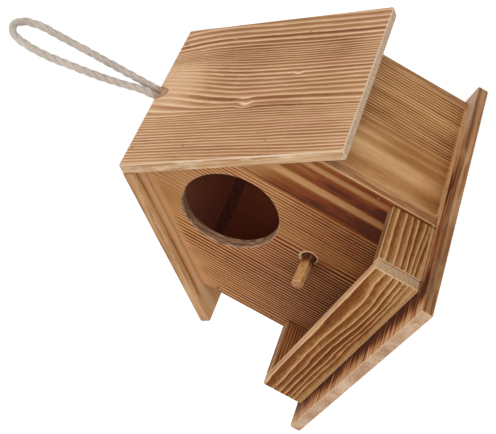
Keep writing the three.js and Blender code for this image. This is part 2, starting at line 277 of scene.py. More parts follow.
def scorchedBoard(name, board):
    # softwood, sawn and torched: the soft early wood burns dark and sinks, the hard late wood stays as pale ridges
    material = bpy.data.materials.new(name)
    add = newTree(material)
    place = add("ShaderNodeTexCoord")
    corner = Vector(board["corner"]) + house["shift"]
    places, facings = [], []
    for key in ("along", "across", "out"):  # millimetres from the board's corner, along its own three directions
        axis = Vector(board[key])
        dot = add("ShaderNodeVectorMath", {0: place.outputs["Object"], 1: axis / mm}, operation="DOT_PRODUCT")
        places.append(add("ShaderNodeMath", {0: dot, 1: -axis.dot(corner)}, operation="ADD"))
        facing = add("ShaderNodeVectorMath", {0: place.outputs["Normal"], 1: axis}, operation="DOT_PRODUCT")
        facings.append(add("ShaderNodeMath", {0: facing}, operation="ABSOLUTE"))
    along, across, depth = places
    spot = add("ShaderNodeCombineXYZ", {0: along, 1: across, 2: depth})

    def drawnOut(size, **look):
        # noise drawn out along the grain
        spread = add("ShaderNodeVectorMath", {0: spot, 1: size}, operation="DIVIDE")
        return add("ShaderNodeTexNoise", {"Vector": spread, "Scale": 1, **look})

    def swayed(value, pattern, amount):
        # the value, moved up and down by a pattern that lies about 0.5
        swing = add("ShaderNodeMath", {0: pattern, 1: 0.5}, operation="SUBTRACT")
        return add("ShaderNodeMath", {0: swing, 1: amount, 2: value}, operation="MULTIPLY_ADD")

    def farFrom(at, reach=(1, 1)):
        # how far it is to a place on the face, as a share of the reach
        offset = add("ShaderNodeVectorMath", {0: spot, 1: (*at, 0)}, operation="SUBTRACT")
        flat = (1 / reach[0], 1 / reach[1], 0)
        squeezed = add("ShaderNodeVectorMath", {0: offset, 1: flat}, operation="MULTIPLY")
        return add("ShaderNodeVectorMath", {0: squeezed}, operation="LENGTH")

    # the grain drifts slowly sideways along the board and slants through its thickness
    drift = drawnOut((board["waveLength"], board["waveWidth"], board["waveWidth"]), Detail=2, Roughness=0.35)
    line = swayed(across, drift, board["waveHeight"])
    line = add("ShaderNodeMath", {0: depth, 1: board["slant"], 2: line}, operation="MULTIPLY_ADD")
    if board["tilt"]:  # the saw ran a little across the grain
        tilt, middle = board["tilt"]
        ahead = add("ShaderNodeMath", {0: along, 1: middle}, operation="SUBTRACT")
        line = add("ShaderNodeMath", {0: ahead, 1: tilt, 2: line}, operation="MULTIPLY_ADD")
    for (low, high), (left, right), shift in board["bends"]:  # the rings swing round a branch or the board's end
        alongShare = add("ShaderNodeMapRange", {0: along, 1: low, 2: high, 3: 1, 4: 0}, **eased)
        acrossShare = add("ShaderNodeMapRange", {0: across, 1: left, 2: right, 3: 0, 4: 1}, **eased)
        both = add("ShaderNodeMath", {0: alongShare, 1: acrossShare}, operation="MULTIPLY")
        line = add("ShaderNodeMath", {0: both, 1: shift, 2: line}, operation="MULTIPLY_ADD")
    patches = []
    for at, reach, push, lift in board["patches"]:  # pin knots push the rings aside, others only change the tone
        near = add("ShaderNodeMapRange", {0: farFrom(at, reach), 1: 1, 2: 0, 3: 0, 4: 1}, **eased)
        patches.append((near, lift))
        if push:
            line = add("ShaderNodeMath", {0: near, 1: push, 2: line}, operation="MULTIPLY_ADD")

    # rings: the curve gives the number of rings that lie before each place across the board
    width, rings = board["rings"][-1]
    lineShare = add("ShaderNodeMath", {0: line, 1: width}, operation="DIVIDE")
    ringShare = add("ShaderNodeFloatCurve", {"Value": lineShare}, [(u / width, n / rings) for u, n in board["rings"]])
    wobble = drawnOut(grain["wobble"], Detail=2)
    ringCount = add("ShaderNodeMath", {0: ringShare, 1: rings}, operation="MULTIPLY")
    ringNumber = add("ShaderNodeMath", {0: wobble, 1: board["wobble"], 2: ringCount}, operation="MULTIPLY_ADD")
    ringPlace = add("ShaderNodeMath", {0: ringNumber}, operation="FRACT")
    ringTone = add("ShaderNodeValToRGB", {0: ringPlace}, board["profile"])
    ringIndex = add("ShaderNodeMath", {0: ringNumber}, operation="FLOOR")
    ringLuck = add("ShaderNodeTexWhiteNoise", {"W": ringIndex}, noise_dimensions="1D")
    ringForce = add("ShaderNodeMapRange", {0: ringLuck, 3: 1 - board["uneven"], 4: 1 + board["uneven"]})
    fade = add("ShaderNodeValToRGB", {0: lineShare}, board["contrast"])
    force = add("ShaderNodeMath", {0: ringForce, 1: fade}, operation="MULTIPLY")
    core = -house["thickness"] / 2  # past it the wood belongs to the inside, which is less burnt
    inner = add("ShaderNodeMapRange", {0: depth, 1: core + 0.5, 2: core - 0.5, 3: 0, 4: 1}, **eased)
    calm = add("ShaderNodeMapRange", {0: inner, 3: 1, 4: board["innerForce"]})
    force = add("ShaderNodeMath", {0: force, 1: calm}, operation="MULTIPLY")

    # strips that stayed unburnt, against the bench and in the corner under the left side of the roof
    strips = []
    downSlope = Vector((slope, 0, -slope))
    underside = downSlope.dot(Vector((0, 0, house["underRidge"])) + house["shift"])
    for key, axis, start, ragged, most in (("foot", Vector((0, 0, 1)), 0, 1.6, 1),
                                           ("eaves", downSlope, underside, 4, 0.9)):
        if board[key]:
            low, high, shade = board[key]
            way = add("ShaderNodeVectorMath", {0: place.outputs["Object"], 1: axis / mm}, operation="DOT_PRODUCT")
            torn = add("ShaderNodeMath", {0: wobble, 1: ragged, 2: way}, operation="MULTIPLY_ADD")
            strip = add("ShaderNodeMapRange", {0: torn, 1: start + low, 2: start + high, 3: most, 4: 0}, **eased)
            clear = add("ShaderNodeMath", {0: 1.0, 1: strip}, operation="SUBTRACT")
            force = add("ShaderNodeMath", {0: force, 1: clear}, operation="MULTIPLY")
            strips.append((strip, shade))
    for at, reach, most in board["spared"]:  # where the flame hardly touched the board
        left = add("ShaderNodeMapRange", {0: farFrom(at, reach), 1: 0.35, 2: 1, 3: most, 4: 1}, **eased)
        force = add("ShaderNodeMath", {0: force, 1: left}, operation="MULTIPLY")
    tone = swayed(board["tone"], ringTone, force)

    # deeper scorching in blotches drawn out along the grain, and more or less of it along the board
    blotch = drawnOut(grain["blotch"], Detail=3, Roughness=0.55, Distortion=0.3)
    tone = swayed(tone, blotch, board["blotch"])
    alongBoard = add("ShaderNodeMath", {0: along, 1: board["length"]}, operation="DIVIDE")
    tone = swayed(tone, add("ShaderNodeFloatCurve", {"Value": alongBoard}, board["toneAlong"]), 1)
    lively = add("ShaderNodeMapRange", {0: blotch, 1: 0.3, 2: 0.7, 3: 0.6, 4: 1.3})
    for middle, half, soft, start, stop, strength in board["streaks"]:  # single scorched or spared bands
        beside = add("ShaderNodeMath", {0: line, 1: middle}, operation="SUBTRACT")
        off = add("ShaderNodeMath", {0: beside}, operation="ABSOLUTE")
        reach = add("ShaderNodeMapRange", {0: off, 1: half - soft / 2, 2: half + soft / 2, 3: strength, 4: 0}, **eased)
        for (low, high), before, after in ((start, 0, 1), (stop, 1, 0)):
            limit = add("ShaderNodeMapRange", {0: along, 1: low, 2: high, 3: before, 4: after}, **eased)
            reach = add("ShaderNodeMath", {0: reach, 1: limit}, operation="MULTIPLY")
        tone = add("ShaderNodeMath", {0: reach, 1: lively, 2: tone}, operation="MULTIPLY_ADD")
    for near, lift in patches:
        tone = add("ShaderNodeMath", {0: near, 1: lift, 2: tone}, operation="MULTIPLY_ADD")
    if board["tongues"]:  # charred tongues that run along the grain
        tone = swayed(tone, drawnOut(grain["tongue"], Detail=3, Roughness=0.6), board["tongues"])
    tone = swayed(tone, drawnOut(grain["fleck"], Detail=2), board["flecks"])
    for strip, shade in strips:
        tone = add("ShaderNodeMix", {0: strip, 2: tone, 3: shade})
    fibre = drawnOut(grain["fibre"], Detail=3, Roughness=0.6)
    tone = swayed(tone, fibre, board["fibre"])

    # outer faces: resin browns golden in places and rosy in others
    hue = drawnOut(grain["hue"], Detail=3, Roughness=0.6)
    outerColour = add("ShaderNodeMix", {
        0: 1.0, 6: add("ShaderNodeValToRGB", {0: tone}, board["face"]),
        7: add("ShaderNodeValToRGB", {0: hue}, board["tint"])}, data_type="RGBA", blend_type="MULTIPLY")
    innerColour = add("ShaderNodeValToRGB", {0: tone}, board["inner"])
    if board["chamber"]:  # the part of a roof board over the chamber, red as the walls in there
        overChamber = 1.0
        for way, edge, inwards in zip((across, across, along), board["chamber"], (0.5, -0.5, -0.5)):
            within = add("ShaderNodeMapRange", {0: way, 1: edge, 2: edge + inwards})
            overChamber = add("ShaderNodeMath", {0: within, 1: overChamber}, operation="MULTIPLY")
        reddened = add("ShaderNodeValToRGB", {0: tone}, roofChamberTones)
        innerColour = add("ShaderNodeMix", {0: overChamber, 6: innerColour, 7: reddened}, data_type="RGBA")

    # end grain: gritty, its rings faint
    grit = drawnOut(grain["grit"], Detail=3, Roughness=0.7)
    endTone = 0.5
    for pattern, amount in ((ringTone, "endRings"), (grit, "endGrit"), (blotch, "endPatch")):
        endTone = swayed(endTone, pattern, board[amount])
    endColour = add("ShaderNodeValToRGB", {0: endTone}, board["end"])

    # long edges: sawn, lightly scorched and worn pale in places
    edgeTone = swayed(drawnOut(grain["sawn"], Detail=3, Roughness=0.5, Distortion=0.4), fibre, 0.35)
    throughBoard = add("ShaderNodeMath", {0: depth, 1: -house["thickness"]}, operation="DIVIDE")
    for way, curve in ((alongBoard, "edgeAlong"), (throughBoard, "edgeDepth")):
        edgeTone = swayed(edgeTone, add("ShaderNodeFloatCurve", {"Value": way}, board[curve]), 1)
    edgeColour = add("ShaderNodeValToRGB", {0: edgeTone}, board["edge"])
    wear = drawnOut(grain["worn"], Detail=4, Roughness=0.6)
    worn = add("ShaderNodeMapRange", {0: wear, 1: 0.5, 2: 0.68, 3: 0, 4: board["worn"]})
    raw = toLinear(board["raw"])
    edgeColour = add("ShaderNodeMix", {0: worn, 6: edgeColour, 7: raw}, data_type="RGBA")
    onEnd, onEdge = (add("ShaderNodeMapRange", {0: facing, 1: 0.45, 2: 0.8, 3: 0, 4: most}, **eased)
                     for facing, most in zip(facings, (1, board["cut"])))
    layers = [(inner, innerColour), (onEdge, edgeColour), (onEnd, endColour)]

    # the scorched skin is rubbed off along every arris, where the surface faces between the board's directions
    sharpest = facings[0]
    for facing in facings[1:]:
        sharpest = add("ShaderNodeMath", {0: sharpest, 1: facing}, operation="MAXIMUM")
    rub = add("ShaderNodeMapRange", {0: inner, 3: board["rub"], 4: board["rubInside"]})
    sideShare = add("ShaderNodeMapRange", {0: facings[1], 1: 0.2, 2: 0.5, 3: 1, 4: board["rubSide"]})
    rub = add("ShaderNodeMath", {0: rub, 1: sideShare}, operation="MULTIPLY")
    arris = add("ShaderNodeMapRange", {0: sharpest, 1: 0.97, 2: 0.8, 3: 0, 4: rub})
    layers.append((add("ShaderNodeMath", {0: blotch, 1: arris}, operation="MULTIPLY"), raw))
    for at, radius, share, code in board["drilled"]:  # splinters round a drilled hole, pale or scorched
        ragged = add("ShaderNodeMath", {0: grit, 1: 1.2, 2: farFrom(at)}, operation="MULTIPLY_ADD")
        torn = add("ShaderNodeMapRange", {0: ragged, 1: radius + 0.2, 2: radius + 1.0, 3: share, 4: 0})
        layers.append((torn, toLinear(code)))
    for at, radius, tones in board["bored"]:  # the saw's burnt cut through the board
        cutGrain = drawnOut(grain["cut"], Detail=4, Roughness=0.6)
        cutColour = add("ShaderNodeValToRGB", {0: cutGrain}, tones)
        within = add("ShaderNodeMapRange", {0: farFrom(at), 1: radius, 2: radius + 0.3, 3: 1, 4: 0})
        layers.append((within, cutColour))
    colour = outerColour
    for share, other in layers:
        colour = add("ShaderNodeMix", {0: share, 6: colour, 7: other}, data_type="RGBA")

    # relief: burnt wood lies deeper, ridges stand up, fibres stay fine
    sunk = add("ShaderNodeMath", {0: ringTone, 1: force}, operation="MULTIPLY")
    height = add("ShaderNodeMath", {0: fibre, 1: sunk}, operation="SUBTRACT")
    rough = add("ShaderNodeMapRange", {0: tone, 3: board["rough"][0], 4: board["rough"][1]})
    addSurface(add, colour, rough, height, 1.0, board["relief"], {"IOR": 1.46, "Specular IOR Level": 0.2})
    return material


# scorching from one pale ridge to the next: deepest in the middle, or close under the next ridge, where the dark is
# char and painted shade that each ridge throws below it
ridgeAndFade = [(0, 0.1), (0.1, 0.22), (0.3, 0.66), (0.6, 0.92), (0.82, 0.75), (1, 0.1)]
darkUnderRidge = [(0, 0.02), (0.1, 0.26), (0.26, 0.56), (0.55, 0.72), (0.84, 0.88), (0.93, 0.66), (1, 0.02)]
# colours from bare to charred
roofTones = [(0, "#E3C4A0"), (0.15, "#D3AC8A"), (0.35, "#C99D7B"), (0.5, "#BA8E68"), (0.65, "#A57751"),
             (0.85, "#90613D"), (1, "#714529")]
plateTones = [(0, "#C59165"), (0.15, "#B18357"), (0.35, "#9D7149"), (0.5, "#905F35"), (0.65, "#81481E"),
              (0.85, "#6F3311"), (1, "#4C200D")]
wallTones = [(0, "#E2BB91"), (0.15, "#D0A474"), (0.35, "#BB8D5C"), (0.5, "#AB794C"), (0.65, "#9B693A"),
             (0.85, "#865326"), (1, "#683918")]
fenceTones = [(0, "#C89E74"), (0.15, "#B78B60"), (0.35, "#A5774B"), (0.5, "#906132"), (0.65, "#723E11"),
              (0.85, "#642E06"), (1, "#461C03")]
floorTones = [(0, "#C8A588"), (0.15, "#C59A70"), (0.35, "#B78251"), (0.55, "#9F623A"), (0.8, "#643119"), (1, "#461E0E")]
fenceEnd = [(0.25, "#C9B194"), (0.5, "#B49473"), (0.75, "#97785A")]
undersideTones = [(0.1, "#C79F74"), (0.5, "#AC8156"), (0.9, "#8A5F38")]
chamberTones = [(0.1, "#BF7658"), (0.5, "#B26549"), (0.9, "#945037")]
roofChamberTones = [(0.1, "#D38D70"), (0.5, "#C87B60"), (0.9, "#AA6249")]
level = [(0, 0.5), (1, 0.5)]
fromStart, toEnd = (-20, -19), (200, 201)  # limits of streaks that run off the board
# the wall of the rope's hole is painted lighter and warmer than scorched wood: painted light in the hole's shade
ropeHole = [((0, 59.4), 5.0, 0.8, "#A97048")]

# what the boards have where they don't say otherwise
common = {
    "wobble": 0.3, "uneven": 0.3, "slant": 0.5, "tilt": None, "bends": (), "patches": (), "spared": (), "streaks": (),
    "profile": ridgeAndFade, "toneAlong": level, "innerForce": 0.25, "foot": (8.6, 10.2, 0.12), "eaves": None,
    "fibre": 0.3, "flecks": 0.16, "tongues": 0, "tint": [(0.36, "#FCFFF5"), (0.64, "#FFFBFD")],
    "inner": chamberTones, "chamber": None,
    "cut": 1, "edge": [(0.3, "#C69C6E"), (0.5, "#A87E54"), (0.7, "#83592F")], "edgeAlong": level, "edgeDepth": level,
    "end": [(0.25, "#C2A078"), (0.5, "#A67E56"), (0.75, "#7A5433")], "endRings": 0.1, "endGrit": 1.0, "endPatch": 0,
    "raw": "#C9A37A", "worn": 0.4, "rub": 1.2, "rubInside": 0, "rubSide": 1,
    "drilled": (), "bored": (), "relief": 0.16, "rough": (0.6, 0.74),
}

# In millimetres from each board's corner. Rings: place across, number of rings up to there. Bends: along, across,
# shift. Patches: place, reach, push, tone. Spared: place, reach, share of the scorching. Streaks: place across, half
# width, softness, start, stop, strength. Drilled: place, radius, share, colour.
boards = {
    "roof_board_right": {
        "along": (slope, 0, -slope), "across": (0, 1, 0), "out": (slope, 0, slope), "corner": (0, -9.5, 157.3),
        "length": 123.5, "waveLength": 62, "waveWidth": 26, "waveHeight": 3.5, "slant": 0.6, "tilt": (0.045, 90),
        "rings": [(0, 0), (27.5, 12), (37.1, 17), (43.1, 19), (48, 20), (62.7, 24), (75.6, 28), (93, 36), (97.3, 37),
                  (116.5, 41)],
        "bends": [((-36, 54), (70, 98), 19), ((0, 55), (36, 54), -8)],
        "patches": [((58.7, 41.4), (7, 5), 2.6, -0.2), ((82.5, 65), (3.4, 2.8), 0.9, -0.14),
                    ((57, 47.5), (8, 4), 1.2, -0.16)],
        "contrast": [(0, 0.8), (0.32, 0.8), (0.36, 1.0), (0.64, 1.0), (0.68, 0.95), (0.82, 0.95), (0.86, 1.15),
                     (1, 1.0)],
        "spared": [((0, 66), (40, 24), 0.36)],
        "tone": 0.45, "toneAlong": [(0, 0.4), (0.12, 0.44), (0.3, 0.52), (0.8, 0.52), (1, 0.42)],
        "blotch": 0.34, "fibre": 0.26,
        "streaks": [(38.5, 1.6, 2, (40, 70), (123, 124), 0.22), (84, 10, 10, (18, 44), (100, 124), 0.14),
                    (56, 20, 18, fromStart, (10, 42), -0.2)],
        "face": roofTones, "inner": undersideTones, "chamber": (15.5, 99.5, 97.5), "drilled": ropeHole,
        "edge": [(0.3, "#C8A884"), (0.5, "#AF8B66"), (0.7, "#8B6541")],
        "edgeAlong": [(0, 0.58), (0.3, 0.57), (0.5, 0.49), (1, 0.49)], "worn": 0.8,
        "end": [(0.25, "#DAC4AA"), (0.5, "#C6AB8E"), (0.75, "#A4866A")], "endGrit": 1.5, "raw": "#D8C3AA",
    },
    "roof_board_left": {
        "along": (-slope, 0, -slope), "across": (0, 1, 0), "out": (-slope, 0, slope), "corner": (0, -9.5, 157.3),
        "length": 121, "waveLength": 70, "waveWidth": 30, "waveHeight": 6, "slant": -0.5,
        "rings": [(0, 0), (20, 6), (45, 16), (70, 22), (90, 31), (116.5, 42)], "wobble": 0.35, "uneven": 0.35,
        "contrast": [(0, 0.6), (0.5, 0.8), (1, 0.6)],
        "tone": 0.5, "toneAlong": [(0, 0.45), (0.3, 0.5), (1, 0.52)], "blotch": 0.4, "fibre": 0.26,
        "streaks": [(6.4, 0.9, 1.2, fromStart, (98, 108), 0.4), (12, 3, 5, fromStart, toEnd, -0.24)],
        # the underside's colours are painted pale: painted light on the overhang's underside, which lies in shade
        "face": roofTones, "inner": [(0.1, "#F3D2A6"), (0.4, "#EBC08F"), (0.6, "#DDAE7A"), (0.9, "#AF7B49")],
        "chamber": (15.5, 99.5, 97.5), "drilled": ropeHole,
        "edge": [(0.3, "#BF9871"), (0.5, "#A37A53"), (0.7, "#744A26")],
        "edgeAlong": [(0, 0.55), (0.4, 0.54), (0.55, 0.48), (1, 0.47)],
        "end": [(0.25, "#C6A37E"), (0.5, "#B08A64"), (0.75, "#94704F")], "raw": "#CDAC84",
    },
    "front_plate": {
        "along": (0, 0, 1), "across": (1, 0, 0), "out": (0, -1, 0), "corner": (-65, 0, 9.1),
        "length": 139.3, "waveLength": 90, "waveWidth": 30, "waveHeight": 3, "slant": 0.8,
        "rings": [(0, 0), (9, 4), (24, 12), (45, 22), (60, 29.5), (70, 33), (78, 36.5), (97, 46), (99, 46.8), (110, 48),
                  (123, 49.2), (130, 50)],
        "contrast": [(0, 0.9), (0.08, 1.15), (0.2, 1.4), (0.5, 1.25), (0.52, 0.45), (0.58, 0.45), (0.62, 1.05),
                     (0.74, 0.95), (0.76, 0.16), (1, 0.16)],
        "tone": 0.44, "toneAlong": [(0, 0.66), (0.12, 0.67), (0.3, 0.58), (0.45, 0.47), (0.65, 0.36), (1, 0.3)],
        "blotch": 0.36, "fibre": 0.34, "eaves": (3.6, 8.6, 0.07),
        "spared": [((116, 56), (26, 24), 0.3), ((92, 17), (24, 13), 0.4), ((28, 66), (9, 7), 0.3),
                   ((74, 3), (17, 9), 0.15)],
        "patches": [((86, 14), (12, 7), 0, -0.2), ((97, 25), (10, 7), 0, -0.16), ((76, 4), (12, 6), 0, -0.2),
                    ((28, 64), (8, 5), 0, 0.12), ((116, 55), (14, 12), 0, 0.08)],
        "streaks": [
            (47, 14, 12, (-2, -1), (34, 62), 0.1), (10, 12, 10, (-2, -1), toEnd, -0.1),
            (103.4, 5.2, 2.5, fromStart, (68, 96), 0.4), (101, 2.6, 3, (8, 16), (50, 66), 0.1),
            (99.4, 0.5, 0.8, (55, 60), (92, 99), 0.4), (111.2, 2.2, 2.2, (6, 16), (76, 90), -0.22),
            (117.6, 4.2, 2.2, fromStart, (78, 94), 0.4), (117.6, 1.8, 3, fromStart, (52, 70), 0.1),
            (118.5, 2.2, 3, (12, 18), (22, 28), 0.4), (123.8, 1.5, 1.8, (14, 24), (66, 76), -0.18),
            (127.4, 1.6, 1.6, fromStart, (66, 78), 0.2), (92.5, 6, 5, (58, 72), toEnd, -0.08),
            (70, 8, 8, (6, 18), (44, 58), -0.08)],
        "face": plateTones, "edge": [(0.3, "#B98C60"), (0.5, "#9A6B42"), (0.7, "#714623")],
        "end": [(0.25, "#B79468"), (0.5, "#916845"), (0.75, "#62422C")], "rub": 1.0, "relief": 0.2,
        "drilled": [((36.7, 63.2), 5.3, 0.9, "#C69C76")],
        "bored": [((85.2, 65), 27.1, [(0.32, "#C09873"), (0.45, "#A37E60"), (0.55, "#83624A"), (0.68, "#634633")]),
                  # round the perch the hole is near black: char, and painted shade in the gap round the stick
                  ((36.2, 63.1), 4.0, [(0.3, "#5A3420"), (0.7, "#331A0E")])],
    },
    "back_plate": {
        "along": (0, 0, 1), "across": (1, 0, 0), "out": (0, 1, 0), "corner": (-65, 96, 9.1),
        "length": 139.3, "waveLength": 90, "waveWidth": 34, "waveHeight": 7,
        "rings": [(0, 0), (30, 7), (52, 16), (78, 27), (100, 32), (130, 40)], "wobble": 0.35, "uneven": 0.35,
        "contrast": [(0, 0.7), (0.3, 0.6), (0.6, 0.8), (1, 0.6)],
        "tone": 0.44, "toneAlong": [(0, 0.62), (0.5, 0.5), (1, 0.4)], "blotch": 0.45,
        "streaks": [(38, 3.6, 3, (10, 20), (88, 102), 0.2), (46, 2.4, 2, fromStart, (70, 92), 0.16)],
        "face": plateTones, "edge": [(0.3, "#BC9266"), (0.5, "#A1744A"), (0.7, "#7A5029")],
        "rub": 1.0, "relief": 0.2,
    },
    "side_wall_right": {
        "along": (0, 0, 1), "across": (0, 1, 0), "out": (1, 0, 0), "corner": (65, 6.3, 9.1),
        "length": 74.3, "waveLength": 90, "waveWidth": 30, "waveHeight": 2.5, "slant": 0.7,
        "rings": [(0, 0), (9, 0.9), (30, 3), (40, 5), (44, 7), (53.8, 11.6), (61, 15.5), (75, 22), (83.4, 26)],
        "contrast": [(0, 0.25), (0.42, 0.25), (0.5, 0.7), (0.56, 1.0), (0.68, 0.95), (0.75, 0.7), (0.84, 0.95),
                     (1, 1.0)],
        "tone": 0.44, "toneAlong": [(0, 0.72), (0.05, 0.62), (0.2, 0.5), (0.75, 0.48), (1, 0.56)], "blotch": 0.62,
        "streaks": [
            (8.4, 1.8, 3, fromStart, toEnd, 0.15), (2.5, 2.5, 3, (30, 50), toEnd, 0.08),
            (15.5, 3.4, 5, fromStart, toEnd, -0.12), (23.5, 2.4, 4, (-2, 8), (30, 46), 0.08),
            (39, 6, 6, fromStart, toEnd, 0.07), (43.4, 0.5, 0.8, fromStart, toEnd, 0.2),
            (45.6, 0.5, 0.8, fromStart, toEnd, 0.2), (56, 9, 6, fromStart, toEnd, 0.06),
            (65, 2.4, 4, fromStart, toEnd, -0.16), (33.5, 2.5, 4, (46, 60), toEnd, 0.1)],
        "patches": [((54, 22), (36, 15), 0, -0.16), ((20, 28), (28, 10), 0, 0.16), ((14, 15), (36, 6), 0, -0.14),
                    ((25, 38), (20, 7), 0, 0.1), ((4, 6), (20, 10), 0, 0.12)],
        "face": wallTones, "foot": (7.9, 9.6, 0.32), "rub": 1.0,
    },
    "side_wall_left": {
        "along": (0, 0, 1), "across": (0, 1, 0), "out": (-1, 0, 0), "corner": (-65, 6.3, 9.1),
        "length": 74.3, "waveLength": 80, "waveWidth": 30, "waveHeight": 5, "slant": 0.6,
        "rings": [(0, 0), (20, 8), (40, 13), (55, 17), (83.4, 29)], "uneven": 0.35,
        "contrast": [(0, 0.7), (0.5, 0.8), (1, 0.6)],
        "tone": 0.48, "toneAlong": [(0, 0.6), (0.2, 0.5), (1, 0.5)], "blotch": 0.45, "fibre": 0.26,
        "streaks": [(48, 3, 3, fromStart, (40, 62), 0.16)],
        "face": wallTones, "rub": 1.0,
    },
    "floor_board": {
        "along": (0.0424, 0.9991, 0), "across": (1, 0, 0), "out": (0, 0, 1), "corner": (-71.5, -53.9, 6),
        "length": 164, "waveLength": 60, "waveWidth": 22, "waveHeight": 9,
        "rings": [(0, 0), (30, 9), (60, 16), (82, 24), (110, 31), (144, 39)], "wobble": 0.5, "uneven": 0.5,
        "contrast": [(0, 0.7), (0.3, 0.5), (0.6, 0.7), (0.9, 0.5), (1, 0.5)],
        "tone": 0.5,
        # along the board: pale at the front edge, darkest just in front of the fence: char, and painted shade where the
        # fence stands on the floor
        "toneAlong": [(0, 0.08), (0.02, 0.2), (0.036, 0.42), (0.05, 0.6), (0.067, 0.78), (0.09, 0.92), (0.15, 0.8),
                      (0.25, 0.66), (0.42, 0.74), (0.6, 0.72), (0.79, 0.5), (0.93, 0.22), (1, 0.1)],
        "blotch": 0.5, "tongues": 1.5, "fibre": 0.34, "foot": None,
        "patches": [((152, 137), (62, 12), 0, -0.75), ((90, 136.3), (110, 3.6), 0, -0.5)],
        "face": floorTones, "inner": undersideTones,
        "edge": [(0.3, "#B0835A"), (0.5, "#90643D"), (0.7, "#6C4324")],
        "edgeAlong": [(0, 0.56), (0.08, 0.62), (0.34, 0.6), (0.44, 0.48), (1, 0.47)],
        "edgeDepth": [(0, 0.7), (0.3, 0.68), (0.4, 0.42), (0.52, 0.38), (0.66, 0.48), (1, 0.5)],
        "end": [(0.2, "#CDB298"), (0.5, "#B69578"), (0.8, "#926C50")], "endGrit": 2.2, "endPatch": 1.2,
        "rubInside": 1.2, "rubSide": 0.15, "relief": 0.2,
    },
    "fence_front": {
        "along": (1, 0, 0), "across": (0, 0, 1), "out": (0, -1, 0), "corner": (-63.6, -42.5, 9.1),
        "length": 127.3, "waveLength": 30, "waveWidth": 14, "waveHeight": 3.0, "tilt": (-0.006, 60),
        "rings": [(0, 0.15), (2.7, 1), (5.2, 2), (8.6, 3), (12.0, 4), (16.0, 5), (21.5, 5.9)], "uneven": 0.2,
        "patches": [((92, 9), (44, 13), 2.6, 0)], "profile": darkUnderRidge,
        "contrast": [(0, 0.75), (0.06, 0.95), (0.5, 1.0), (1, 0.9)],
        "tone": 0.46, "toneAlong": [(0, 0.42), (0.08, 0.5), (0.45, 0.54), (0.8, 0.45), (1, 0.32)],
        "blotch": 0.55, "fibre": 0.5, "flecks": 0.4, "foot": (8.0, 9.4, 0.2),
        "streaks": [(0.6, 1.6, 2, fromStart, toEnd, -0.14)],
        "face": fenceTones, "inner": fenceTones, "innerForce": 0.8,
        "edge": [(0.3, "#DDB78F"), (0.5, "#CB9B70"), (0.7, "#AC7B51")],
        "end": [(0.25, "#C2A483"), (0.5, "#B29170"), (0.75, "#987858")],
        "raw": "#C9A67E", "rub": 1.3, "rubInside": 1.3, "relief": 0.25,
    },
    "fence_right": {
        "along": (0, 1, 0), "across": (0, 0, 1), "out": (1, 0, 0), "corner": (63.7, -36.2, 9.1),
        "length": 35.9, "waveLength": 60, "waveWidth": 16, "waveHeight": 1.2,
        "rings": [(0, 0.2), (1.9, 1), (3.9, 2), (6.6, 3), (9.8, 4), (13.6, 5), (18.4, 6), (21.5, 6.7)],
        "wobble": 0.2, "uneven": 0.2, "bends": [((36, 0), (7, 1), 2.0)], "profile": darkUnderRidge,
        "contrast": [(0, 1.15), (0.3, 0.9), (1, 0.8)],
        "tone": 0.36, "toneAlong": [(0, 0.42), (0.3, 0.5), (1, 0.56)],
        "blotch": 0.3, "fibre": 0.45, "flecks": 0.35, "foot": (8.2, 9.6, 0.12),
        "face": fenceTones, "inner": fenceTones, "innerForce": 0.8,
        "edge": [(0.3, "#B98A5E"), (0.5, "#8E6038"), (0.7, "#6A4022")],
        "end": fenceEnd, "raw": "#C9A67E", "rubInside": 1.2, "relief": 0.25,
    },
    "fence_left": {
        "along": (0, 1, 0), "across": (0, 0, 1), "out": (-1, 0, 0), "corner": (-63.6, -36.2, 9.1),
        "length": 35.9, "waveLength": 60, "waveWidth": 16, "waveHeight": 2,
        "rings": [(0, 0), (6, 4.4), (12, 8), (21.5, 13.5)], "contrast": [(0, 0.6), (1, 0.6)],
        "tone": 0.46, "toneAlong": [(0, 0.42), (0.5, 0.5), (1, 0.6)], "blotch": 0.45, "face": fenceTones,
        "inner": [(0.05, "#D29A66"), (0.3, "#BA7D4C"), (0.5, "#A16638"), (0.72, "#7C4822"), (1, "#482410")],
        "innerForce": 1, "edge": [(0.3, "#B98A5E"), (0.5, "#9A6B42"), (0.7, "#74482A")],
        "end": fenceEnd, "raw": "#C9A67E", "rubInside": 1.2, "relief": 0.2,
    },
}

for node, board in boards.items():
    wood = scorchedBoard("scorchedPine" + "".join(word.title() for word in node.split("_")), {**common, **board})
    plank = bpy.data.objects[node]
    plank.data.materials.clear()
    plank.data.materials.append(wood)
print("boards scorched")

# Glue: beads in the joints of the walls, under the roof and round the rope, which close them; the bead under the roof
# is dark with painted shade
glue = {
    "front": 6.3, "back": 89.7, "depth": 96, "foot": 6.3, "top": 83.3, "face": 65, "inside": 59, "joint": 0.3,
    "bead": 0.55, "toe": 0.6, "groove": 0.5, "root": 1.5, "hollow": 0.25, "holeRadius": 4.95, "sunk": 0.7, "streak": 6,
    "tones": {
        # the bead under the roof is darker than browned glue: painted shade in the corner between wall and roof
        "eavesGlue": [(0.35, "#9A6654"), (0.5, "#875546"), (0.65, "#6E4133")],
        "cornerGlue": [(0.35, "#BD9162"), (0.5, "#AB7E52"), (0.65, "#946941")],
        "holeGlue": [(0.35, "#C79C79"), (0.5, "#B48963"), (0.65, "#92684A")]},
}


def drawBead(shape, corners, run):
    # one bead: its cut face in millimetres, drawn out by the run
    cut = shape.faces.new([shape.verts.new((Vector(corner) + house["shift"]) * mm) for corner in corners])
    grown = bmesh.ops.extrude_face_region(shape, geom=[cut])["geom"]
    bmesh.ops.translate(shape, verts=[v for v in grown if isinstance(v, bmesh.types.BMVert)], vec=Vector(run) * mm)


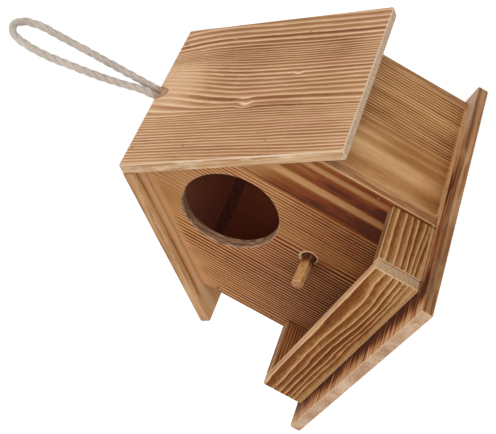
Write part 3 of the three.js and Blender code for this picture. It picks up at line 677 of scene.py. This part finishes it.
def eavesBead(shape, side):
    # from the flat top of a side wall up to the slope of the roof, a little short of the wall's two faces
    outer, inner = glue["face"] - 0.15, glue["inside"] + 0.1
    middle = (glue["top"] + house["underRidge"] - inner) / 2
    drawBead(shape, [(side * x, glue["front"], z) for x, z in (
        (outer, glue["top"]), (inner, glue["top"]), (inner + glue["hollow"], middle),
        (inner, house["underRidge"] - inner), (outer, house["underRidge"] - outer))],
        (0, glue["back"] - glue["front"], 0))


def cornerBeads(shape, side):
    # up both corners of a side wall and along the floor beside it, each with a root in the joint
    half, slim = glue["joint"] / 2, 0.01
    for y in (glue["front"] - half, glue["back"] + half):
        drawBead(shape, [(side * (glue["face"] - x), y + v, glue["foot"]) for x, v in (
            (0.1, -glue["bead"]), (0.1, glue["bead"]), (glue["groove"], half), (glue["root"], half - slim),
            (glue["root"], slim - half), (glue["groove"], -half))], (0, 0, glue["top"] - glue["foot"]))
    under = slim - glue["joint"]
    drawBead(shape, [(side * (glue["face"] + x), glue["joint"], glue["foot"] + z) for x, z in (
        (glue["toe"], under), (0, glue["bead"]), (-glue["groove"], 0), (-glue["root"], -slim), (-glue["root"], under))],
        (0, glue["depth"] - 2 * glue["joint"], 0))


def holePlug(shape):
    # round the rope, sunk a little below both slopes of the roof
    top = (Vector((0, rope["holeY"], house["ridge"] - glue["sunk"])) + house["shift"]) * mm
    bmesh.ops.create_cone(shape, cap_ends=True, segments=32, radius1=glue["holeRadius"] * mm,
                          radius2=glue["holeRadius"] * mm, depth=2 * house["thickness"] * mm,
                          matrix=Matrix.Translation(top))
    for side in (-1, 1):
        cut = bmesh.ops.bisect_plane(shape, geom=shape.verts[:] + shape.edges[:] + shape.faces[:], plane_co=top,
                                     plane_no=(side * slope, 0, slope), clear_outer=True)["geom_cut"]
        bmesh.ops.holes_fill(shape, edges=[e for e in cut if isinstance(e, bmesh.types.BMEdge)])


def brownedGlue(name, tones):
    # white wood glue, squeezed out, dried to a skin and browned by the torch: smoother and glossier than the wood; the
    # dark tones of the bead under the roof are painted shade
    material = bpy.data.materials.new(name)
    add = newTree(material)
    place = add("ShaderNodeTexCoord")
    drawn = add("ShaderNodeMapping", {
        "Vector": place.outputs["Object"], "Scale": (3 / mm, 1 / (glue["streak"] * mm), 3 / mm)})
    skin = add("ShaderNodeTexNoise", {"Vector": drawn, "Scale": 1, "Detail": 3})
    colour = add("ShaderNodeValToRGB", {0: skin}, tones)
    rough = add("ShaderNodeMapRange", {0: skin, 1: 0.3, 2: 0.7, 3: 0.4, 4: 0.6})
    addSurface(add, colour, rough, skin, 0.7, 0.1, {"IOR": 1.47, "Specular IOR Level": 0.2})
    return material


for name, tones in glue["tones"].items():
    shape = bmesh.new()
    for side in (-1, 1):
        if name == "eavesGlue":
            eavesBead(shape, side)
        elif name == "cornerGlue":
            cornerBeads(shape, side)
    if name == "holeGlue":
        holePlug(shape)
    bmesh.ops.recalc_face_normals(shape, faces=shape.faces)
    addPiece(name, toMesh(name, shape), brownedGlue("browned" + name[0].upper() + name[1:], tones))
print("joints closed")

# Perch: a short turned stick, cut off by hand, so its end is ragged
stickTones = [(0.05, "#DDB380"), (0.3, "#C99A66"), (0.5, "#AD7A48"), (0.72, "#78441F"), (1, "#3C1D0C")]
perch = {
    "foot": (-1.9, 0, 45.3), "lean": 5, "rise": 2.4, "radius": 3.5, "inside": 7.5, "reach": 19.5, "sides": 40,
    "rings": 22, "footEase": (0.5, 0.4), "endEase": 0.9,
    # a hand-cut stick isn't quite round, and its cut end is torn; how far, and how often per millimetre
    "wander": 0.035, "wanderRate": (0.35, 0.35, 0.12), "torn": 1.1, "tornRate": 0.8, "tornFrom": 0.93,
    "wood": {
        "rings": [(0, 0), (7, 3.4), (10, 5)], "waveLength": 40, "waveWidth": 14, "waveHeight": 1.2, "slant": 0.7,
        "wobble": 0.5, "uneven": 0.4, "contrast": [(0, 0.25), (1, 0.25)], "tone": 0.38, "length": 27, "foot": None,
        # darkest where the stick leaves the plate: char, and painted shade of the hole round it
        "toneAlong": [(0, 0.98), (0.37, 0.98), (0.46, 0.74), (0.56, 0.5), (0.75, 0.42), (1, 0.5)],
        "blotch": 0.7, "fibre": 0.5, "flecks": 0.4, "face": stickTones, "inner": stickTones, "innerForce": 1, "cut": 0,
        "end": [(0.25, "#C79A74"), (0.5, "#A46F4F"), (0.75, "#75452D")],
        "rub": 0, "relief": 0.18, "rough": (0.58, 0.7),
    },
}

upTurn = Matrix.Rotation(math.radians(-perch["rise"]), 3, "X")
sideTurn = Matrix.Rotation(math.radians(-perch["lean"]), 3, "Z")
perchSide, perchUp, perchAxis = (upTurn @ sideTurn @ Vector(v) for v in ((1, 0, 0), (0, 0, 1), (0, -1, 0)))
length = perch["inside"] + perch["reach"]
shape = bmesh.new()
bmesh.ops.create_circle(shape, cap_ends=False, radius=perch["radius"] - perch["footEase"][0], segments=perch["sides"])
footEdges = list(shape.edges)
topEdges = footEdges
straight = (length - perch["footEase"][1] - perch["endEase"]) / perch["rings"]
for wider, higher in [perch["footEase"]] + [(0, straight)] * perch["rings"] + [(-perch["endEase"], perch["endEase"])]:
    grown = bmesh.ops.extrude_edge_only(shape, edges=topEdges)["geom"]
    topEdges = [e for e in grown if isinstance(e, bmesh.types.BMEdge) and len(e.link_faces) == 1]
    for v in grown:
        if isinstance(v, bmesh.types.BMVert):
            v.co += Vector((v.co.x, v.co.y, 0)).normalized() * wider + Vector((0, 0, higher))
for edges in (footEdges, topEdges):
    bmesh.ops.triangle_fill(shape, edges=edges, use_dissolve=True)
bmesh.ops.poke(shape, faces=[f for f in shape.faces if len(f.verts) > 4])
for v in shape.verts:
    cutEnd = v.co.z / length > perch["tornFrom"]
    waver = noise.noise(Vector([c * rate for c, rate in zip(v.co, perch["wanderRate"])]))
    v.co.xy *= 1 - abs(waver) * perch["wander"]
    if cutEnd:
        v.co.z -= abs(noise.noise(v.co * perch["tornRate"] + Vector((0, 0, 5)))) * perch["torn"]
bmesh.ops.recalc_face_normals(shape, faces=shape.faces)
base = Vector(perch["foot"]) + house["shift"] - perchAxis * perch["inside"]
turn = Matrix((perchSide, perchUp, perchAxis)).transposed()
bmesh.ops.transform(shape, verts=shape.verts, matrix=Matrix.Translation(base * mm) @ (turn * mm).to_4x4())
stickMesh = toMesh("perchStick", shape)
for face in stickMesh.polygons:
    face.use_smooth = True
middle = perch["wood"]["rings"][-1][0] / 2  # the rings' curve is as wide as the stick and lies about its axis
stickWood = {**common, **perch["wood"], "along": perchAxis, "across": perchSide, "out": perchUp,
             "corner": base - house["shift"] - perchSide * middle + perchUp * perch["radius"]}
stick = addPiece("perchStick", stickMesh, scorchedBoard("scorchedBirchStick", stickWood))
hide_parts("perch_dowel")
print("perch cut")

# Pins: thin steel panel pins with flat struck heads, scorched with the wood; the brown scale and soot on them hide
# the metal, so the skin isn't metallic
pin = {"scratch": 0.25, "tones": {
    "pin_roof": [(0.3, "#956A46"), (0.5, "#A87B54"), (0.7, "#B98C64")],
    "pin_fence": [(0.3, "#6E4322"), (0.5, "#80512C"), (0.7, "#91613A")],
    "pin_": [(0.3, "#5A3218"), (0.5, "#6E4022"), (0.7, "#80502E")]}}

for group, tones in pin["tones"].items():
    steel = bpy.data.materials.new("brownedSteel" + group.title().replace("_", ""))
    add = newTree(steel)
    place = add("ShaderNodeTexCoord")
    rubMarks = add("ShaderNodeTexNoise", {
        "Vector": place.outputs["Object"], "Scale": 1 / (pin["scratch"] * mm), "Detail": 3})
    colour = add("ShaderNodeValToRGB", {0: rubMarks}, tones)
    rough = add("ShaderNodeMapRange", {0: rubMarks, 1: 0.3, 2: 0.7, 3: 0.7, 4: 0.5})
    addSurface(add, colour, rough, rubMarks, 0.5, 0.03, {"Metallic": 0.0})
    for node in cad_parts:
        if node.startswith("pin_") and group == next(g for g in pin["tones"] if node.startswith(g)):
            nail = bpy.data.objects[node]
            nail.data.materials.clear()
            nail.data.materials.append(steel)
print("pins browned")

# Studio: a pale floor, a white surround and soft light
studio = {"floorSize": 8.0, "floor": "#E9E8E6", "lift": 0.5, "surround": 0.76, "aim": (0, 0, 0.08),
          "lamps": [("keyLamp", (0.4, -1.25, 0.6), 0.9, 9.5), ("sideLamp", (1.4, -0.1, 0.3), 1.1, 4.2)]}


def seenPlain(add):
    # one for the camera and for mirrors, which see plain white, and nought for the light on the house
    rays = add("ShaderNodeLightPath")
    return add("ShaderNodeMath", {0: rays.outputs["Is Camera Ray"], 1: rays.outputs["Is Glossy Ray"]},
               operation="MAXIMUM")


shape = bmesh.new()
bmesh.ops.create_grid(shape, x_segments=1, y_segments=1, size=studio["floorSize"] / 2)
floorMesh = toMesh("studioFloor", shape)
floor = bpy.data.objects.new("studioFloor", floorMesh)
scene.collection.objects.link(floor)
paper = bpy.data.materials.new("paleStudioPaper")  # matt background paper, without grain or shine
add = newTree(paper)
lift = add("ShaderNodeMath", {0: seenPlain(add), 1: studio["lift"]}, operation="MULTIPLY")
plain = add("ShaderNodeBsdfDiffuse", {"Color": toLinear(studio["floor"])})
glow = add("ShaderNodeEmission", {"Color": (1, 1, 1, 1), "Strength": lift})
both = add("ShaderNodeAddShader", {0: plain, 1: glow})
add("ShaderNodeOutputMaterial", {0: both})
floorMesh.materials.append(paper)

world = bpy.data.worlds.new("whiteSurround")
add = newTree(world)
strength = add("ShaderNodeMapRange", {0: seenPlain(add), 3: studio["surround"], 4: 1})
air = add("ShaderNodeBackground", {"Color": (1, 1, 1, 1), "Strength": strength})
add("ShaderNodeOutputWorld", {0: air})
scene.world = world

for name, spot, size, power in studio["lamps"]:
    lampData = bpy.data.lights.new(name, "AREA")
    lampData.size = size
    lampData.energy = power
    lamp = bpy.data.objects.new(name, lampData)
    lamp.location = spot
    lamp.rotation_euler = (Vector(studio["aim"]) - Vector(spot)).to_track_quat("-Z", "Y").to_euler()
    scene.collection.objects.link(lamp)
scene.view_settings.view_transform = "Standard"
print("studio lit")
